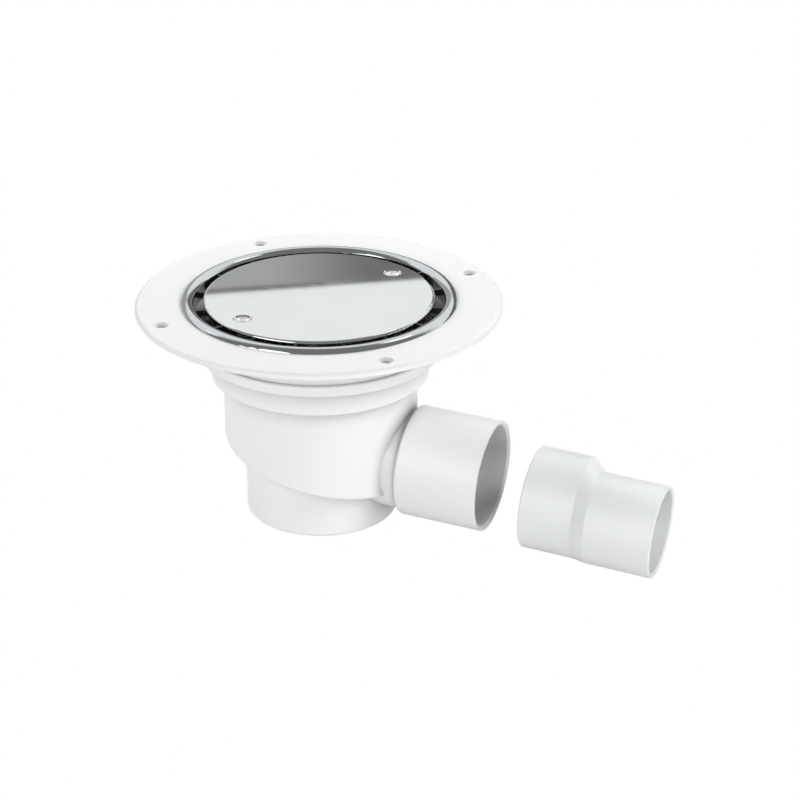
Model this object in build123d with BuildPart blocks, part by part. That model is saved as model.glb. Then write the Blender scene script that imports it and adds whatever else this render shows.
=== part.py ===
from build123d import *
from math import atan, cos, radians, sin
import os

# Trapped shower gully: a moulded body with a lift-out dip tube, a polished clamp ring and cover plate,
# and the loose eccentric reducer that glues into its outlet.
# The origin is the centre of the flange's underside, +Z is up and +X points along the outlet.
# The body is one moulding and the clamp ring one casting: each is drawn as simple pieces that touch,
# so that the hollows and the drain slot between them stay plain to see and to test.

os.makedirs("parts", exist_ok=True)

# Cover plate and its two screws
cover_diameter = 126.0
cover_thickness = 3.0
cover_rise = 1.8
cover_edge_radius = 1.5
cover_clearance = 0.3
cover_screw_count = 2
cover_screw_inset = 11.7
cover_screw_angle = 60.3
dimple_diameter = 10.4
dimple_floor_diameter = 8.6
dimple_depth = 1.2
screw_diameter = 4.0
screw_clearance = 0.25
pan_head_diameter = 7.8
pan_head_height = 1.8
pan_dome_height = 1.1
driver_slot_width = 1.0
driver_slot_length = 4.4
driver_slot_depth = 1.1
screw_end = 1.0
nut_width = 7.0
nut_height = 4.0
thread_clearance = 0.05
countersink_angle = 90.0

# Clamp ring: a bead on the flange, a skirt in the recess, and a hub on webs under the cover
slot_width = 5.1
bead_width = 7.2
bead_height = 2.4
skirt_thickness = 1.5
skirt_clearance = 0.6
skirt_depth = 3.8
web_count = 16
web_thickness = 1.6
web_drop = 2.6
hub_inset = 1.7
hub_width = 17.3
hub_thickness = 3.0

# Clamp screws, under the cover, into bosses on the neck's wall
clamp_screw_count = 4
clamp_screw_inset = 4.3
clamp_screw_angle = 17.6
clamp_head_diameter = 7.0
clamp_screw_length = 14.0
boss_diameter = 8.0
boss_height = 17.5
boss_gap = 0.3

# Body: flange
wall = 3.0
flange_margin = 24.7
flange_thickness = 3.2
flange_edge_radius = 2.4
flange_under_radius = 0.6
fixing_inset = 10.0
fixing_count = 4
fixing_first_angle = 45.0
fixing_hole_diameter = 5.0
fixing_head_diameter = 8.0

# Body: stepped neck
recess_depth = 4.5
neck_inset = 1.0
neck_cone_height = 5.0
neck_height = 13.0
neck_rib_proud = 2.0
neck_rib_height = 6.5
neck_root_radius = 2.5
seat_step = 5.0
seat_height = 14.0
ledge_width = 6.5
step_radius = 1.6

# Body: chamber with a sloping floor, and the trap cup whose rim is the weir
weir_gap = 8.1
weir_below_seat = 22.5
outlet_below_weir = 23.3
floor_below_outlet = 4.2
floor_slope = 13.0
floor_edge_radius = 1.5
cup_edge_radius = 2.5

# Body: outlet, along an axis that falls away from the chamber
outlet_fall = 2.5
outlet_bore = 50.0
pipe_diameter = 56.0
pipe_clearance = 0.1
socket_gap = 0.5
socket_depth = 44.0
socket_wall = 2.6
socket_shoulder = 2.0
socket_lead_in = 1.2

# Dip tube and its seal ring
dip_rim_clearance = 0.5
dip_rim_thickness = 2.5
dip_spigot_clearance = 0.3
dip_spigot_height = 8.5
dip_wall = 2.0
dip_cone_height = 10.0
dip_side_gap = 12.4
dip_floor_gap = 9.5
water_seal = 50.0
seal_width = 2.7
seal_height = 3.0
seal_edge_chamfer = 0.8
seal_groove_clearance = 0.2
seal_groove_below_rim = 2.0

# Eccentric reducer, lying on the floor in front of the outlet
reducer_wall = 2.6
reducer_small_diameter = 50.0
reducer_large_length = 29.0
reducer_step_length = 8.0
reducer_small_length = 36.5
reducer_offset = 7.0
reducer_roll = 4.0
reducer_gap = 25.0
reducer_side = -5.0
reducer_edge_chamfer = 0.6

# Radii, from the cover's edge outwards and then inwards
cover_radius = cover_diameter / 2
cover_screw_radius = cover_radius - cover_screw_inset
skirt_inner = cover_radius + slot_width
skirt_outer = skirt_inner + skirt_thickness
recess_radius = skirt_outer + skirt_clearance
bead_radius = skirt_inner + bead_width
flange_radius = bead_radius + flange_margin
hub_radius = cover_radius - hub_inset
clamp_radius = hub_radius - clamp_screw_inset
neck_radius = cover_radius - neck_inset
rib_radius = neck_radius + wall + neck_rib_proud
seat_radius = neck_radius - seat_step
chamber_radius = seat_radius - ledge_width
cup_outer = chamber_radius - weir_gap
cup_radius = cup_outer - wall
dip_outer = cup_radius - dip_side_gap
dip_inner = dip_outer - dip_wall
socket_bore_radius = pipe_diameter / 2 + pipe_clearance
socket_radius = socket_bore_radius + socket_wall
screw_radius = screw_diameter / 2
screw_hole_radius = screw_radius + screw_clearance
thread_hole_radius = screw_radius + thread_clearance
countersink_radius = clamp_head_diameter / 2 + thread_clearance

# Heights above and below the flange's underside
flange_top = flange_thickness
cover_top = flange_top + cover_rise
hub_top = cover_top - cover_thickness
hub_bottom = hub_top - hub_thickness
boss_top = hub_bottom - boss_gap
boss_bottom = boss_top - boss_height
neck_top = -recess_depth - neck_cone_height
neck_bottom = neck_top - neck_height
rib_bottom = neck_bottom - wall
rib_top = rib_bottom + neck_rib_height
seat_bottom = neck_bottom - seat_height
ledge_bottom = seat_bottom - wall
weir_top = seat_bottom - weir_below_seat
outlet_height = weir_top - outlet_below_weir
floor_height = outlet_height - floor_below_outlet
dip_bottom = weir_top - water_seal
cup_floor = dip_bottom - dip_floor_gap
cup_bottom = cup_floor - wall

# The outlet's axis and lengths, and the sloping floor
outlet_direction = Vector(cos(radians(outlet_fall)), 0, -sin(radians(outlet_fall)))
shoulder_start = chamber_radius + wall + socket_gap
socket_start = shoulder_start + wall
outlet_reach = socket_start + socket_depth
floor_normal = Vector(sin(radians(floor_slope)), 0, cos(radians(floor_slope)))
inner_floor_height = floor_height + wall / floor_normal.Z


def outlet_plane(distance):
    # A plane square to the outlet's axis, at a distance from the gully's own axis
    start = Vector(0, 0, outlet_height)
    return Plane(origin=start + outlet_direction * distance, x_dir=(0, 1, 0), z_dir=outlet_direction)


def upright_plane(x, y, angle=0.0):
    # An upright plane through a point, with its local x along the given angle and its local y up
    turn = radians(angle)
    return Plane(origin=(x, y, 0), x_dir=(cos(turn), sin(turn), 0), z_dir=(sin(turn), -cos(turn), 0))


def polar_places(radius, count, first_angle):
    # Points evenly spaced on a circle about the gully's axis
    angles = [radians(first_angle + 360 * k / count) for k in range(count)]
    return [(radius * cos(a), radius * sin(a)) for a in angles]


def corner(sketch, x, y):
    # The corner of a sketch at a point of its plane
    return sketch.vertices().sort_by_distance((x, y, 0))[0]


cover_screw_places = polar_places(cover_screw_radius, cover_screw_count, cover_screw_angle)
clamp_screw_places = polar_places(clamp_radius, clamp_screw_count, clamp_screw_angle)

# Flange and neck, with a recess for the clamp ring and bosses for its screws
with BuildPart() as flange_neck:
    with BuildSketch(Plane.XZ) as neck_section:
        with BuildLine():
            Polyline(
                (recess_radius, flange_top),
                (flange_radius, flange_top),
                (flange_radius, 0),
                (recess_radius + wall, 0),
                (recess_radius + wall, -recess_depth - wall / 2),
                (neck_radius + wall, neck_top - wall / 2),
                (neck_radius + wall, rib_top),
                (neck_radius, rib_top),
                (neck_radius, neck_top),
                (recess_radius, -recess_depth),
                close=True,
            )
        make_face()
        fillet(corner(neck_section, flange_radius, flange_top), flange_edge_radius)
        fillet(corner(neck_section, flange_radius, 0), flange_under_radius)
        fillet(corner(neck_section, recess_radius + wall, 0), neck_root_radius)
    revolve(axis=Axis.Z)
    with BuildSketch(Plane.XY.offset(boss_top)):
        with PolarLocations(clamp_radius, clamp_screw_count, clamp_screw_angle):
            Circle(boss_diameter / 2)
    extrude(amount=boss_bottom - boss_top)
    with BuildSketch(Plane.XY.offset(neck_top)):
        with PolarLocations(clamp_radius, clamp_screw_count, clamp_screw_angle):
            Rectangle(neck_radius + wall / 2 - clamp_radius, boss_diameter, align=(Align.MIN, Align.CENTER))
    extrude(amount=boss_bottom - neck_top)
    with BuildSketch(Plane.XY.offset(boss_top)):
        with Locations(*clamp_screw_places):
            Circle(thread_hole_radius)
    extrude(amount=hub_thickness + boss_gap - clamp_screw_length - screw_end, mode=Mode.SUBTRACT)
    with Locations(Plane.XY.offset(flange_top)):
        with PolarLocations(flange_radius - fixing_inset, fixing_count, fixing_first_angle):
            CounterSinkHole(
                fixing_hole_diameter / 2, fixing_head_diameter / 2, flange_thickness, countersink_angle
            )
flange_neck.part.label = "flange_neck"
export_step(flange_neck.part, "parts/flange_neck.step")

# Seat ring: the rib at the neck's foot, and the stepped seat with the ledge that carries the dip tube
with BuildPart() as seat_ring:
    with BuildSketch(Plane.XZ) as seat_section:
        with BuildLine():
            Polyline(
                (neck_radius, rib_top),
                (rib_radius, rib_top),
                (rib_radius, rib_bottom),
                (seat_radius + wall, rib_bottom),
                (seat_radius + wall, ledge_bottom),
                (chamber_radius, ledge_bottom),
                (chamber_radius, seat_bottom),
                (seat_radius, seat_bottom),
                (seat_radius, neck_bottom),
                (neck_radius, neck_bottom),
                close=True,
            )
        make_face()
        fillet([corner(seat_section, rib_radius, z) for z in (rib_bottom, rib_top)], step_radius)
        fillet(corner(seat_section, seat_radius + wall, ledge_bottom), step_radius)
    revolve(axis=Axis.Z)
seat_ring.part.label = "seat_ring"
export_step(seat_ring.part, "parts/seat_ring.step")

# Trap cup, closed at the bottom: its rim, inside the chamber, is the weir
with BuildPart() as trap_cup:
    with BuildSketch(Plane.XY.offset(cup_bottom)):
        Circle(cup_outer)
    extrude(amount=weir_top - cup_bottom)
    fillet(trap_cup.faces().sort_by(Axis.Z)[0].edges(), cup_edge_radius)
    with BuildSketch(Plane.XY.offset(cup_floor)):
        Circle(cup_radius)
    extrude(amount=weir_top - cup_floor, mode=Mode.SUBTRACT)
trap_cup.part.label = "trap_cup"
export_step(trap_cup.part, "parts/trap_cup.step")

# Room of the trap cup, cut out of the chamber and the outlet so that it stands through them
with BuildPart() as cup_room:
    with BuildSketch(Plane.XY.offset(cup_bottom)):
        Circle(cup_outer)
    extrude(amount=weir_top - cup_bottom)

# Outside of the chamber, as a solid block on the sloping floor
with BuildPart() as chamber_block:
    with BuildSketch(Plane.XY.offset(ledge_bottom)):
        Circle(chamber_radius + wall)
    extrude(amount=cup_bottom - ledge_bottom)
    split(bisect_by=Plane(origin=(0, 0, floor_height), z_dir=floor_normal), keep=Keep.TOP)
    fillet(chamber_block.faces().sort_by(Axis.Z)[0].edges(), floor_edge_radius)

# Waterway through the chamber and the outlet to the pipe socket
with BuildPart() as waterway:
    with BuildSketch(Plane.XY.offset(ledge_bottom)):
        Circle(chamber_radius)
    extrude(amount=cup_bottom - ledge_bottom)
    split(bisect_by=Plane(origin=(0, 0, inner_floor_height), z_dir=floor_normal), keep=Keep.TOP)
    with BuildSketch(outlet_plane(0)):
        Circle(outlet_bore / 2)
    extrude(amount=socket_start)
    with BuildSketch(outlet_plane(socket_start)):
        Circle(socket_bore_radius)
    extrude(amount=socket_depth)

# Chamber, round the trap cup and open to the outlet
with BuildPart() as chamber:
    add(chamber_block.part)
    add(waterway.part, mode=Mode.SUBTRACT)
    add(cup_room.part, mode=Mode.SUBTRACT)
chamber.part.label = "chamber"
export_step(chamber.part, "parts/chamber.step")

# Outlet, from the chamber's wall to the mouth of the pipe socket
with BuildPart() as outlet:
    with BuildSketch(outlet_plane(shoulder_start)):
        Circle(socket_radius)
    extrude(amount=wall + socket_depth)
    fillet(outlet.faces().sort_by(Axis.X)[0].edges(), socket_shoulder)
    with BuildSketch(outlet_plane(0)):
        Circle(outlet_bore / 2 + wall)
    extrude(amount=socket_start)
    add(waterway.part, mode=Mode.SUBTRACT)
    add(chamber_block.part, mode=Mode.SUBTRACT)
    add(cup_room.part, mode=Mode.SUBTRACT)
    mouth = outlet.faces().sort_by(Axis.X)[-1]
    chamfer(mouth.inner_wires()[0].edges(), socket_lead_in)
outlet.part.label = "outlet"
export_step(outlet.part, "parts/outlet.step")

# Clamp ring: a rounded bead on the flange, and a skirt in the recess
with BuildPart() as clamp_ring:
    with BuildSketch(Plane.XZ):
        with BuildLine():
            bead_arc = ThreePointArc(
                (skirt_inner, flange_top),
                ((skirt_inner + bead_radius) / 2, flange_top + bead_height),
                (bead_radius, flange_top),
            )
            Polyline(
                bead_arc @ 1,
                (skirt_outer, flange_top),
                (skirt_outer, -skirt_depth),
                (skirt_inner, -skirt_depth),
                bead_arc @ 0,
            )
        make_face()
    revolve(axis=Axis.Z)
clamp_ring.part.label = "clamp_ring"
export_step(clamp_ring.part, "parts/clamp_ring.step")

# Hub of the clamp ring, under the cover, with holes for both sets of screws
with BuildPart() as ring_hub:
    with BuildSketch(Plane.XY.offset(hub_bottom)):
        Circle(hub_radius)
        Circle(hub_radius - hub_width, mode=Mode.SUBTRACT)
    extrude(amount=hub_thickness)
    with Locations(Plane.XY.offset(hub_top)):
        with Locations(*clamp_screw_places):
            CounterSinkHole(screw_hole_radius, countersink_radius, hub_thickness, countersink_angle)
        with Locations(*cover_screw_places):
            Hole(screw_hole_radius, hub_thickness)
ring_hub.part.label = "ring_hub"
export_step(ring_hub.part, "parts/ring_hub.step")

# Webs of the clamp ring, across the drain slot from the hub to the skirt
with BuildPart() as ring_webs:
    with BuildSketch(*[upright_plane(0, 0, 360 * (k + 0.5) / web_count) for k in range(web_count)]):
        with BuildLine():
            Polyline(
                (hub_radius - web_thickness, hub_bottom),
                (skirt_outer, hub_bottom),
                (skirt_outer, cover_top - web_drop),
                (cover_radius + cover_clearance, cover_top - web_drop),
                (cover_radius + cover_clearance, hub_top),
                (hub_radius - web_thickness, hub_top),
                close=True,
            )
        make_face()
    extrude(amount=web_thickness / 2, both=True)
    with BuildSketch(Plane.XY.offset(hub_bottom)):
        Circle(skirt_inner)
        Circle(hub_radius, mode=Mode.SUBTRACT)
    extrude(amount=cover_top - hub_bottom, mode=Mode.INTERSECT)
ring_webs.part.label = "ring_webs"
export_step(ring_webs.part, "parts/ring_webs.step")

# Cover plate, with a dimple round each screw
with BuildPart() as cover_plate:
    with BuildSketch(Plane.XY.offset(hub_top)):
        Circle(cover_radius)
    extrude(amount=cover_thickness)
    fillet(cover_plate.faces().sort_by(Axis.Z)[-1].edges(), cover_edge_radius)
    for x, y in cover_screw_places:
        with BuildSketch(upright_plane(x, y)):
            with BuildLine():
                Polyline(
                    (0, cover_top),
                    (dimple_diameter / 2, cover_top),
                    (dimple_floor_diameter / 2, cover_top - dimple_depth),
                    (screw_hole_radius, cover_top - dimple_depth),
                    (screw_hole_radius, hub_top),
                    (0, hub_top),
                    close=True,
                )
            make_face()
        revolve(axis=Axis((x, y, 0), (0, 0, 1)), mode=Mode.SUBTRACT)
cover_plate.part.label = "cover_plate"
export_step(cover_plate.part, "parts/cover_plate.step")

# Cover screws, with domed heads and a cross recess
head_seat = cover_top - dimple_depth
head_top = head_seat + pan_head_height
dome_radius = ((pan_head_diameter / 2) ** 2 + pan_dome_height**2) / (2 * pan_dome_height)
with BuildPart() as cover_screws:
    for x, y in cover_screw_places:
        with BuildSketch(upright_plane(x, y)):
            with BuildLine():
                dome_foot = (pan_head_diameter / 2, head_top - pan_dome_height)
                dome = RadiusArc(dome_foot, (0, head_top), -dome_radius)
                Polyline(
                    dome @ 1,
                    (0, hub_bottom - nut_height - screw_end),
                    (screw_radius, hub_bottom - nut_height - screw_end),
                    (screw_radius, head_seat),
                    (pan_head_diameter / 2, head_seat),
                    dome @ 0,
                )
            make_face()
        revolve(axis=Axis((x, y, 0), (0, 0, 1)))
    with BuildSketch(Plane.XY.offset(head_top)):
        with Locations(*cover_screw_places):
            Rectangle(driver_slot_length, driver_slot_width)
            Rectangle(driver_slot_width, driver_slot_length)
    extrude(amount=-driver_slot_depth, mode=Mode.SUBTRACT)
cover_screws.part.label = "cover_screws"
export_step(cover_screws.part, "parts/cover_screws.step")

# Nuts welded under the hub for the cover screws
with BuildPart() as weld_nuts:
    with BuildSketch(Plane.XY.offset(hub_bottom)):
        with Locations(*cover_screw_places):
            RegularPolygon(nut_width / 2, 6, major_radius=False)
            Circle(thread_hole_radius, mode=Mode.SUBTRACT)
    extrude(amount=-nut_height)
weld_nuts.part.label = "weld_nuts"
export_step(weld_nuts.part, "parts/weld_nuts.step")

# Clamp screws, countersunk flush with the hub
clamp_head_height = clamp_head_diameter / 2 - screw_radius
with BuildPart() as clamp_screws:
    for x, y in clamp_screw_places:
        with BuildSketch(upright_plane(x, y)):
            with BuildLine():
                Polyline(
                    (0, hub_top),
                    (clamp_head_diameter / 2, hub_top),
                    (screw_radius, hub_top - clamp_head_height),
                    (screw_radius, hub_top - clamp_screw_length),
                    (0, hub_top - clamp_screw_length),
                    close=True,
                )
            make_face()
        revolve(axis=Axis((x, y, 0), (0, 0, 1)))
    with BuildSketch(Plane.XY.offset(hub_top)):
        with Locations(*clamp_screw_places):
            Rectangle(driver_slot_length, driver_slot_width)
            Rectangle(driver_slot_width, driver_slot_length)
    extrude(amount=-driver_slot_depth, mode=Mode.SUBTRACT)
clamp_screws.part.label = "clamp_screws"
export_step(clamp_screws.part, "parts/clamp_screws.step")

# Dip tube: a funnel that hangs on the seat by its rim and reaches down into the trap cup
rim_radius = clamp_radius - boss_diameter / 2 - dip_rim_clearance
spigot_radius = chamber_radius - dip_spigot_clearance
groove_radius = chamber_radius - seal_width
groove_top = seat_bottom - seal_groove_below_rim
groove_bottom = groove_top - seal_height - seal_groove_clearance
funnel_radius = groove_radius - dip_wall
spigot_bottom = seat_bottom - dip_spigot_height
with BuildPart() as dip_tube:
    with BuildSketch(Plane.XZ):
        with BuildLine():
            Polyline(
                (funnel_radius, seat_bottom + dip_rim_thickness),
                (rim_radius, seat_bottom + dip_rim_thickness),
                (rim_radius, seat_bottom),
                (spigot_radius, seat_bottom),
                (spigot_radius, groove_top),
                (groove_radius, groove_top),
                (groove_radius, groove_bottom),
                (spigot_radius, groove_bottom),
                (spigot_radius, spigot_bottom),
                (dip_outer, spigot_bottom - dip_cone_height),
                (dip_outer, dip_bottom),
                (dip_inner, dip_bottom),
                (dip_inner, spigot_bottom - dip_cone_height + dip_wall),
                (funnel_radius, spigot_bottom + dip_wall),
                close=True,
            )
        make_face()
    revolve(axis=Axis.Z)
dip_tube.part.label = "dip_tube"
export_step(dip_tube.part, "parts/dip_tube.step")

# Seal ring in the dip tube's groove, squeezed against the chamber's wall
with BuildPart() as dip_tube_seal:
    with BuildSketch(Plane.XZ) as seal_section:
        with Locations((groove_radius, groove_top)):
            Rectangle(seal_width, seal_height, align=(Align.MIN, Align.MAX))
        chamfer(seal_section.vertices(), seal_edge_chamfer)
    revolve(axis=Axis.Z)
dip_tube_seal.part.label = "dip_tube_seal"
export_step(dip_tube_seal.part, "parts/dip_tube_seal.step")

# Reducer: the large end glues into the socket, and the small end is set off to one side.
# It lies on the end of its large part and on the rim of its small end, which tilts it a little.
large_radius = pipe_diameter / 2
small_radius = reducer_small_diameter / 2
offset_side = reducer_offset * cos(radians(reducer_roll))
offset_down = reducer_offset * sin(radians(reducer_roll))
step_end = reducer_large_length + reducer_step_length
reducer_drop = large_radius - small_radius - offset_down
reducer_tilt = atan(reducer_drop / (reducer_step_length + reducer_small_length))
reducer_direction = Vector(cos(reducer_tilt), 0, -sin(reducer_tilt))
reducer_start = Vector(
    outlet_reach * outlet_direction.X + reducer_gap,
    reducer_side,
    cup_bottom + large_radius * cos(reducer_tilt) + reducer_large_length * sin(reducer_tilt),
)


def reducer_plane(distance):
    # A plane square to the reducer's axis, at a distance from its large end
    origin = reducer_start + reducer_direction * distance
    return Plane(origin=origin, x_dir=(0, 1, 0), z_dir=reducer_direction)


with BuildPart() as reducer:
    for inset, mode in ((0, Mode.ADD), (reducer_wall, Mode.SUBTRACT)):
        with BuildSketch(reducer_plane(0)):
            Circle(large_radius - inset)
        extrude(amount=reducer_large_length, mode=mode)
        with BuildSketch(reducer_plane(reducer_large_length)):
            Circle(large_radius - inset)
        with BuildSketch(reducer_plane(step_end)):
            with Locations((-offset_side, -offset_down)):
                Circle(small_radius - inset)
        loft(mode=mode)
        with BuildSketch(reducer_plane(step_end)):
            with Locations((-offset_side, -offset_down)):
                Circle(small_radius - inset)
        extrude(amount=reducer_small_length, mode=mode)
    ends = [reducer.faces().sort_by(Axis.X)[0], reducer.faces().sort_by(Axis.X)[-1]]
    chamfer([edge for end in ends for edge in end.edges()], reducer_edge_chamfer)
reducer.part.label = "reducer"
export_step(reducer.part, "parts/reducer.step")
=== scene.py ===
import bpy
from math import atan2, cos, degrees, radians, sin
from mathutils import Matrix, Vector


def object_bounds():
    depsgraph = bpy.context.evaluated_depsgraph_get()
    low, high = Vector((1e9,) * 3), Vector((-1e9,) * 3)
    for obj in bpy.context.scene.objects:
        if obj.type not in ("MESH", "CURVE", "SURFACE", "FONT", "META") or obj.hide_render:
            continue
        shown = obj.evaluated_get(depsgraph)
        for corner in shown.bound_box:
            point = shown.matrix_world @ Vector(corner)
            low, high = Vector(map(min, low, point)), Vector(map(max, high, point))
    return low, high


# Looks of the trapped shower gully: white moulded body, polished ring and cover, and the loose reducer
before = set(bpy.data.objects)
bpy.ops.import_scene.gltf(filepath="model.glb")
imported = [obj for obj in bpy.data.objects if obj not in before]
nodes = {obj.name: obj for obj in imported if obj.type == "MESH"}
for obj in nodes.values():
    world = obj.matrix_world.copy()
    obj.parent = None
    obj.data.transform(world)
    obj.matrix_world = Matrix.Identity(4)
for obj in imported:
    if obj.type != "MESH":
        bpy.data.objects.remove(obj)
cad_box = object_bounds()

# Camera: where it stands, where it looks, and its lens and sensor in millimetres
camera_place = Vector((0.43529, -1.01904, 0.46372))
camera_aim = Vector((-0.32221, 0.84532, -0.42616))
camera_lens = 99.3
camera_sensor = 36.0

# Two tones of each finish, which a noise mixes
body_tones = (0.832, 0.845, 0.843), (0.85, 0.862, 0.86)
reducer_tones = (0.795, 0.813, 0.813), (0.813, 0.83, 0.83)
dip_tones = (0.74, 0.75, 0.76), (0.78, 0.79, 0.80)
cover_tones = (0.76, 0.77, 0.765), (0.79, 0.80, 0.795)
ring_tones = (0.62, 0.63, 0.645), (0.68, 0.69, 0.70)
# Near-black steel in the drain slot: painted shade of the slot, not a darker metal
slot_painted_shade_tones = (0.1, 0.1, 0.105), (0.16, 0.16, 0.165)
screw_tones = (0.86, 0.86, 0.86), (0.92, 0.92, 0.92)
rubber_tones = (0.012, 0.012, 0.012), (0.03, 0.03, 0.03)
floor_tones = (0.49, 0.49, 0.49), (0.51, 0.51, 0.51)

# Roughness of each finish, from its shiniest spots to its dullest
body_rough = 0.3, 0.36
reducer_rough = 0.32, 0.38
dip_rough = 0.35, 0.5
cover_rough = 0.012, 0.024
ring_rough = 0.05, 0.1
slot_rough = 0.4, 0.5
screw_rough = 0.36, 0.44
rubber_rough = 0.55, 0.75
floor_rough = 0.9

# Noises, as scale per metre and detail, and for the hairlines roughness too.
# Their values lie mostly between noise_low and noise_high, where a finish goes from one end to the other.
plastic_cloud = 16.0, 4.0
plastic_skin = 70.0, 3.0
plastic_sink = 38.0, 1.0
plastic_grain = 1200.0, 2.0
steel_cloud = 40.0, 3.0
steel_hairlines = 90.0, 3.0, 0.6
rubber_bloom = 220.0, 4.0
floor_cloud = 3.0, 3.0
noise_low = 0.3
noise_high = 0.7

# Bumps, as strength and depth in metres: sink marks and grain of the plastic, and the steel's hairlines
sink_bump = 0.012, 0.001
grain_bump = 0.006, 0.0001
hairline_depth = 0.00002
mirror_hairlines = 0.0
ring_hairlines = 0.02
dull_hairlines = 0.05
cover_grain = 1.0, 6.0, 1.0
ring_grain = 1.0, 1.0, 4.0
screw_grain = 1.0, 1.0, 3.0

# Shine of the plastic, how metallic the screws look, and how far and how darkly shade is painted into the
# creases
plastic_ior = 1.5
plastic_shine = 0.5
full_metal = 1.0
screw_metal = 0.55
# Painted crease shade: ambient occlusion scales the plastic's colour down in creases
crease_samples = 8
crease_reach = 0.011
crease_painted_dark = 0.4
crease_shut = 0.4
crease_open = 0.95

# Floor: its size in metres and the light that it gives back
floor_size = 14.0
floor_glow = 0.22
white = 1.0, 1.0, 1.0, 1.0

# Studio in the steel: a white sheet at the back, a grey wall under its edge, a seam there, and a dark room.
# Heights above the sheet's edge, shares of up and shares towards the back and the right say where each ends.
up_axis = Vector((0.0, 0.0, 1.0))
wall_line = Vector((0.2014, -0.3253, 0.9239))
wall_right = Vector((0.9345, 0.3562, 0.0))
wall_back = Vector((-0.3562, 0.9345, 0.0))
line_blur = 0.0006
sheet_top = 0.80, 0.95
sheet_sides = 0.05, 0.4
grey_sides = 0.2, 0.7
grey_turn = -0.068, -0.006
seam_band = -0.0028, -0.002
seam_end = -0.036, -0.026
sheet_white = 1.0
room_dark = 0.23
grey_left = 0.45
grey_right = 0.19
seam_dark = 0.22
room_tint = 0.965, 0.98, 1.0
sheet_tint = 0.98, 1.0, 0.992

# Soft boxes: distances from the gully and widths in metres
far_distance = 2.0
far_width = 0.9
near_distance = 1.3
near_width = 0.6
wide_width = 1.5
glint_distance = 1.8
left_glint_width = 0.4
right_glint_width = 0.5


# Node helpers
def start_material(name):
    material = bpy.data.materials.new(name)
    material.use_nodes = True
    tree = material.node_tree
    shader = tree.nodes["Principled BSDF"]
    place = tree.nodes.new("ShaderNodeTexCoord")
    return material, tree, shader, place.outputs["Object"]


def stretched(tree, place, scale):
    mapping = tree.nodes.new("ShaderNodeMapping")
    mapping.inputs["Scale"].default_value = scale
    tree.links.new(place, mapping.inputs["Vector"])
    return mapping.outputs["Vector"]


def noise(tree, place, scale, detail, roughness=0.5):
    node = tree.nodes.new("ShaderNodeTexNoise")
    node.inputs["Scale"].default_value = scale
    node.inputs["Detail"].default_value = detail
    node.inputs["Roughness"].default_value = roughness
    tree.links.new(place, node.inputs["Vector"])
    return node.outputs["Fac"]


def between(tree, value, low, high, at_low, at_high, smooth=False):
    node = tree.nodes.new("ShaderNodeMapRange")
    node.interpolation_type = "SMOOTHSTEP" if smooth else "LINEAR"
    node.inputs["From Min"].default_value = low
    node.inputs["From Max"].default_value = high
    node.inputs["To Min"].default_value = at_low
    node.inputs["To Max"].default_value = at_high
    tree.links.new(value, node.inputs["Value"])
    return node.outputs["Result"]


def spread(tree, value, low, high):
    return between(tree, value, noise_low, noise_high, low, high)


def two_tones(tree, value, first, second):
    ramp = tree.nodes.new("ShaderNodeValToRGB")
    for stop, position, tone in zip(ramp.color_ramp.elements, (noise_low, noise_high), (first, second)):
        stop.position = position
        stop.color = (*tone, 1.0)
    tree.links.new(value, ramp.inputs["Fac"])
    return ramp.outputs["Color"]


def bumped(tree, value, strength, depth, under=None):
    node = tree.nodes.new("ShaderNodeBump")
    node.inputs["Strength"].default_value = strength
    node.inputs["Distance"].default_value = depth
    tree.links.new(value, node.inputs["Height"])
    if under is not None:
        tree.links.new(under, node.inputs["Normal"])
    return node.outputs["Normal"]


# How open a place is: 1 on free faces and less in creases, where it paints shade into the plastic's colour
def painted_crease_shade(tree):
    crease = tree.nodes.new("ShaderNodeAmbientOcclusion")
    crease.samples = crease_samples
    crease.inputs["Distance"].default_value = crease_reach
    return between(tree, crease.outputs["AO"], crease_shut, crease_open, crease_painted_dark, 1.0)


# White plastic: cloudy tone with painted shade in its creases, gloss that varies a little, and the mould's
# fine grain
def moulded_plastic(name, tones, rough):
    material, tree, shader, place = start_material(name)
    cloud = noise(tree, place, *plastic_cloud)
    skin = noise(tree, place, *plastic_skin)
    grain = noise(tree, place, *plastic_grain)
    sink = noise(tree, place, *plastic_sink)
    tone_with_painted_shade = tree.nodes.new("ShaderNodeVectorMath")
    tone_with_painted_shade.operation = "SCALE"
    tree.links.new(two_tones(tree, cloud, *tones), tone_with_painted_shade.inputs[0])
    # Painted shade: the colour is scaled down in creases, where little is open around
    tree.links.new(painted_crease_shade(tree), tone_with_painted_shade.inputs["Scale"])
    tree.links.new(tone_with_painted_shade.outputs["Vector"], shader.inputs["Base Color"])
    tree.links.new(spread(tree, skin, *rough), shader.inputs["Roughness"])
    waves = bumped(tree, sink, *sink_bump)
    tree.links.new(bumped(tree, grain, *grain_bump, waves), shader.inputs["Normal"])
    shader.inputs["IOR"].default_value = plastic_ior
    shader.inputs["Specular IOR Level"].default_value = plastic_shine
    return material


# Stainless steel, from mirror polish to the duller turned finish of the screws
def polished_steel(name, tones, rough, grain, hairline_strength, metal=full_metal):
    material, tree, shader, place = start_material(name)
    cloud = noise(tree, place, *steel_cloud)
    hairlines = noise(tree, stretched(tree, place, grain), *steel_hairlines)
    tree.links.new(two_tones(tree, cloud, *tones), shader.inputs["Base Color"])
    tree.links.new(spread(tree, hairlines, *rough), shader.inputs["Roughness"])
    tree.links.new(bumped(tree, hairlines, hairline_strength, hairline_depth), shader.inputs["Normal"])
    shader.inputs["Metallic"].default_value = metal
    return material


# Black rubber with a dusty bloom
def black_rubber(name):
    material, tree, shader, place = start_material(name)
    bloom = noise(tree, place, *rubber_bloom)
    tree.links.new(two_tones(tree, bloom, *rubber_tones), shader.inputs["Base Color"])
    tree.links.new(spread(tree, bloom, *rubber_rough), shader.inputs["Roughness"])
    return material


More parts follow.
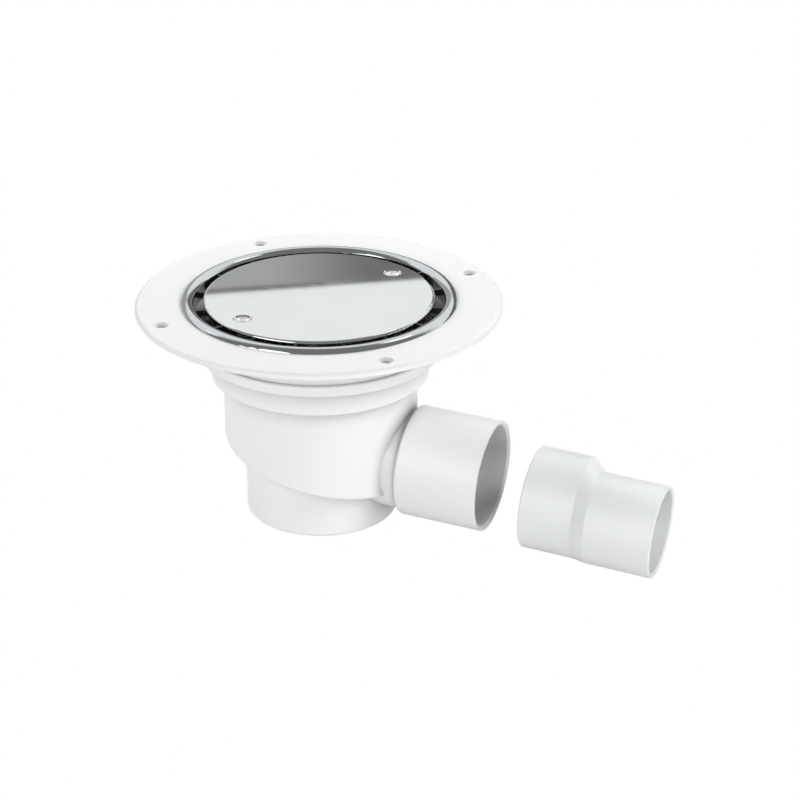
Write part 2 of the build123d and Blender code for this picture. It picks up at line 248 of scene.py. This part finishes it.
body_plastic = moulded_plastic("body_plastic", body_tones, body_rough)
reducer_plastic = moulded_plastic("reducer_plastic", reducer_tones, reducer_rough)
dip_plastic = moulded_plastic("dip_plastic", dip_tones, dip_rough)
cover_mirror = polished_steel("cover_mirror", cover_tones, cover_rough, cover_grain, mirror_hairlines)
ring_polish = polished_steel("ring_polish", ring_tones, ring_rough, ring_grain, ring_hairlines)
# Hub and webs in the slot: the same steel, darkened as painted shade of the slot
slot_painted_shade_steel = polished_steel("slot_painted_shade_steel", slot_painted_shade_tones, slot_rough, ring_grain, dull_hairlines)
screw_bright = polished_steel(
    "screw_bright", screw_tones, screw_rough, screw_grain, dull_hairlines, screw_metal
)
seal_black = black_rubber("seal_black")

finishes = {
    "flange_neck": body_plastic,
    "seat_ring": body_plastic,
    "chamber": body_plastic,
    "trap_cup": body_plastic,
    "outlet": body_plastic,
    "reducer": reducer_plastic,
    "dip_tube": dip_plastic,
    "dip_tube_seal": seal_black,
    "clamp_ring": ring_polish,
    # The slot's hub and webs carry the painted shade of the slot
    "ring_hub": slot_painted_shade_steel,
    "ring_webs": slot_painted_shade_steel,
    "cover_plate": cover_mirror,
    "cover_screws": screw_bright,
    "clamp_screws": screw_bright,
    "weld_nuts": screw_bright,
}
for name, finish in finishes.items():
    mesh = nodes[name].data
    mesh.materials.clear()
    mesh.materials.append(finish)


# Floor paint: plain white to the camera, and a quiet grey to the light that falls on it
def floor_finish(name):
    material, tree, shader, place = start_material(name)
    cloud = noise(tree, place, *floor_cloud)
    tree.links.new(two_tones(tree, cloud, *floor_tones), shader.inputs["Base Color"])
    shader.inputs["Roughness"].default_value = floor_rough
    shader.inputs["Emission Color"].default_value = white
    shader.inputs["Emission Strength"].default_value = floor_glow
    shader.inputs["Specular IOR Level"].default_value = 0.0
    plain_white = tree.nodes.new("ShaderNodeEmission")
    path = tree.nodes.new("ShaderNodeLightPath")
    seen = tree.nodes.new("ShaderNodeMixShader")
    tree.links.new(path.outputs["Is Camera Ray"], seen.inputs["Fac"])
    tree.links.new(shader.outputs["BSDF"], seen.inputs[1])
    tree.links.new(plain_white.outputs["Emission"], seen.inputs[2])
    tree.links.new(seen.outputs["Shader"], tree.nodes["Material Output"].inputs["Surface"])
    return material


# Floor under the trap cup. It casts no shadow, so the painted crease shade does not darken the foot of the
# cup.
bpy.ops.mesh.primitive_plane_add(size=floor_size, location=(0.0, 0.0, cad_box[0][2]))
floor = bpy.context.active_object
floor.name = "studio_floor"
floor.visible_shadow = False
floor.data.materials.append(floor_finish("floor_paint"))


# Helpers for the studio's walls
def dot(tree, direction, axis):
    node = tree.nodes.new("ShaderNodeVectorMath")
    node.operation = "DOT_PRODUCT"
    node.inputs[1].default_value = axis
    tree.links.new(direction, node.inputs[0])
    return node.outputs["Value"]


def calc(tree, operation, first, second):
    node = tree.nodes.new("ShaderNodeMath")
    node.operation = operation
    for socket, value in zip(node.inputs, (first, second)):
        if isinstance(value, float):
            socket.default_value = value
        else:
            tree.links.new(value, socket)
    return node.outputs["Value"]


def background(tree, brightness, tint):
    node = tree.nodes.new("ShaderNodeBackground")
    node.inputs["Color"].default_value = (*tint, 1.0)
    tree.links.new(brightness, node.inputs["Strength"])
    return node.outputs["Background"]


studio = bpy.data.worlds.new("studio")
studio.use_nodes = True
bpy.context.scene.world = studio
sky = studio.node_tree
sky.nodes.remove(sky.nodes["Background"])
direction = sky.nodes.new("ShaderNodeTexCoord").outputs["Generated"]
path = sky.nodes.new("ShaderNodeLightPath")
up = dot(sky, direction, up_axis)
towards_back = dot(sky, direction, wall_back)
towards_right = dot(sky, direction, wall_right)
line_height = dot(sky, direction, wall_line)
above_line = between(sky, line_height, -line_blur, line_blur, 0.0, 1.0)
below_line = calc(sky, "SUBTRACT", 1.0, above_line)

# White sheet: above its edge, and fading out overhead and at the sides
below_top = between(sky, up, *sheet_top, 1.0, 0.0, smooth=True)
inside_sides = between(sky, towards_back, *sheet_sides, 0.0, 1.0, smooth=True)
sheet_share = calc(sky, "MULTIPLY", calc(sky, "MULTIPLY", above_line, below_top), inside_sides)
sheet_tone = calc(sky, "MULTIPLY", sheet_share, sheet_white - room_dark)

# Grey wall under the sheet, darker to the right, with a dark seam along part of the edge
in_seam = between(sky, line_height, *seam_band, 0.0, 1.0)
left_of_end = between(sky, towards_right, *seam_end, 1.0, 0.0)
seam_tone = between(sky, calc(sky, "MULTIPLY", in_seam, left_of_end), 0.0, 1.0, grey_left, seam_dark)
plain_grey = between(sky, towards_right, *grey_turn, grey_left, grey_right, smooth=True)
grey_tone = calc(sky, "MINIMUM", plain_grey, seam_tone)
grey_inside = between(sky, towards_back, *grey_sides, 0.0, 1.0, smooth=True)
grey_share = calc(sky, "MULTIPLY", below_line, grey_inside)
grey_lift = calc(sky, "MULTIPLY", grey_share, calc(sky, "SUBTRACT", grey_tone, room_dark))
room_tone = calc(sky, "ADD", grey_lift, room_dark)

# The studio shows only in gloss, and is plain white to the camera: the soft boxes light the plastic
in_gloss = path.outputs["Is Glossy Ray"]
in_view = path.outputs["Is Camera Ray"]
sheet_in_gloss = calc(sky, "MULTIPLY", sheet_tone, in_gloss)
room = background(sky, calc(sky, "MULTIPLY", room_tone, in_gloss), room_tint)
sheet = background(sky, calc(sky, "MAXIMUM", sheet_in_gloss, in_view), sheet_tint)
both = sky.nodes.new("ShaderNodeAddShader")
sky.links.new(room, both.inputs[0])
sky.links.new(sheet, both.inputs[1])
sky.links.new(both.outputs["Shader"], sky.nodes["World Output"].inputs["Surface"])

camera_side = degrees(atan2(camera_place.y, camera_place.x))


# A soft box turned to the gully. Its turn is counted from the camera's side, with right as positive.
# It lights the plastic unless told not to, and it is seen in gloss only where it shines.
def soft_box(name, turn, elevation, power, distance=far_distance, width=far_width, lights=True, shines=False):
    around, lift = radians(camera_side + turn), radians(elevation)
    place = Vector((cos(lift) * cos(around), cos(lift) * sin(around), sin(lift))) * distance
    lamp = bpy.data.lights.new(name, "AREA")
    lamp.shape = "DISK"
    lamp.size = width
    lamp.energy = power
    box = bpy.data.objects.new(name, lamp)
    box.location = place
    box.rotation_euler = (-place).to_track_quat("-Z", "Y").to_euler()
    box.visible_glossy = shines
    box.visible_diffuse = lights
    bpy.context.scene.collection.objects.link(box)


soft_box("front_left_box", turn=-20.0, elevation=8.0, power=6.0)
soft_box("front_right_box", turn=25.0, elevation=8.0, power=13.0)
soft_box("right_box", turn=60.0, elevation=35.0, power=17.3)
soft_box("left_front_box", turn=-46.0, elevation=22.0, power=9.0, width=wide_width, shines=True)
soft_box("left_box", turn=-105.0, elevation=35.0, power=9.5)
soft_box("left_low_box", turn=-95.0, elevation=5.0, power=6.5)

# Nearer boxes behind the gully and over it, for the flange
near = {"distance": near_distance, "width": near_width}
soft_box("back_left_box", turn=-150.0, elevation=35.0, power=4.0, **near)
soft_box("back_right_box", turn=150.0, elevation=35.0, power=12.0, **near)
soft_box("top_box", turn=170.0, elevation=70.0, power=1.3, **near)

# Two small ones that only make the glints on the ring
glint = {"distance": glint_distance, "lights": False, "shines": True}
soft_box("left_glint", turn=-109.0, elevation=34.0, power=0.25, width=left_glint_width, **glint)
soft_box("right_glint", turn=114.0, elevation=58.0, power=0.8, width=right_glint_width, **glint)

camera = bpy.data.objects.new("camera", bpy.data.cameras.new("camera"))
camera.location = camera_place
camera.rotation_euler = camera_aim.to_track_quat("-Z", "Y").to_euler()
camera.data.lens = camera_lens
camera.data.sensor_width = camera_sensor
bpy.context.scene.collection.objects.link(camera)
bpy.context.scene.camera = camera
bpy.context.scene.view_settings.view_transform = "Standard"
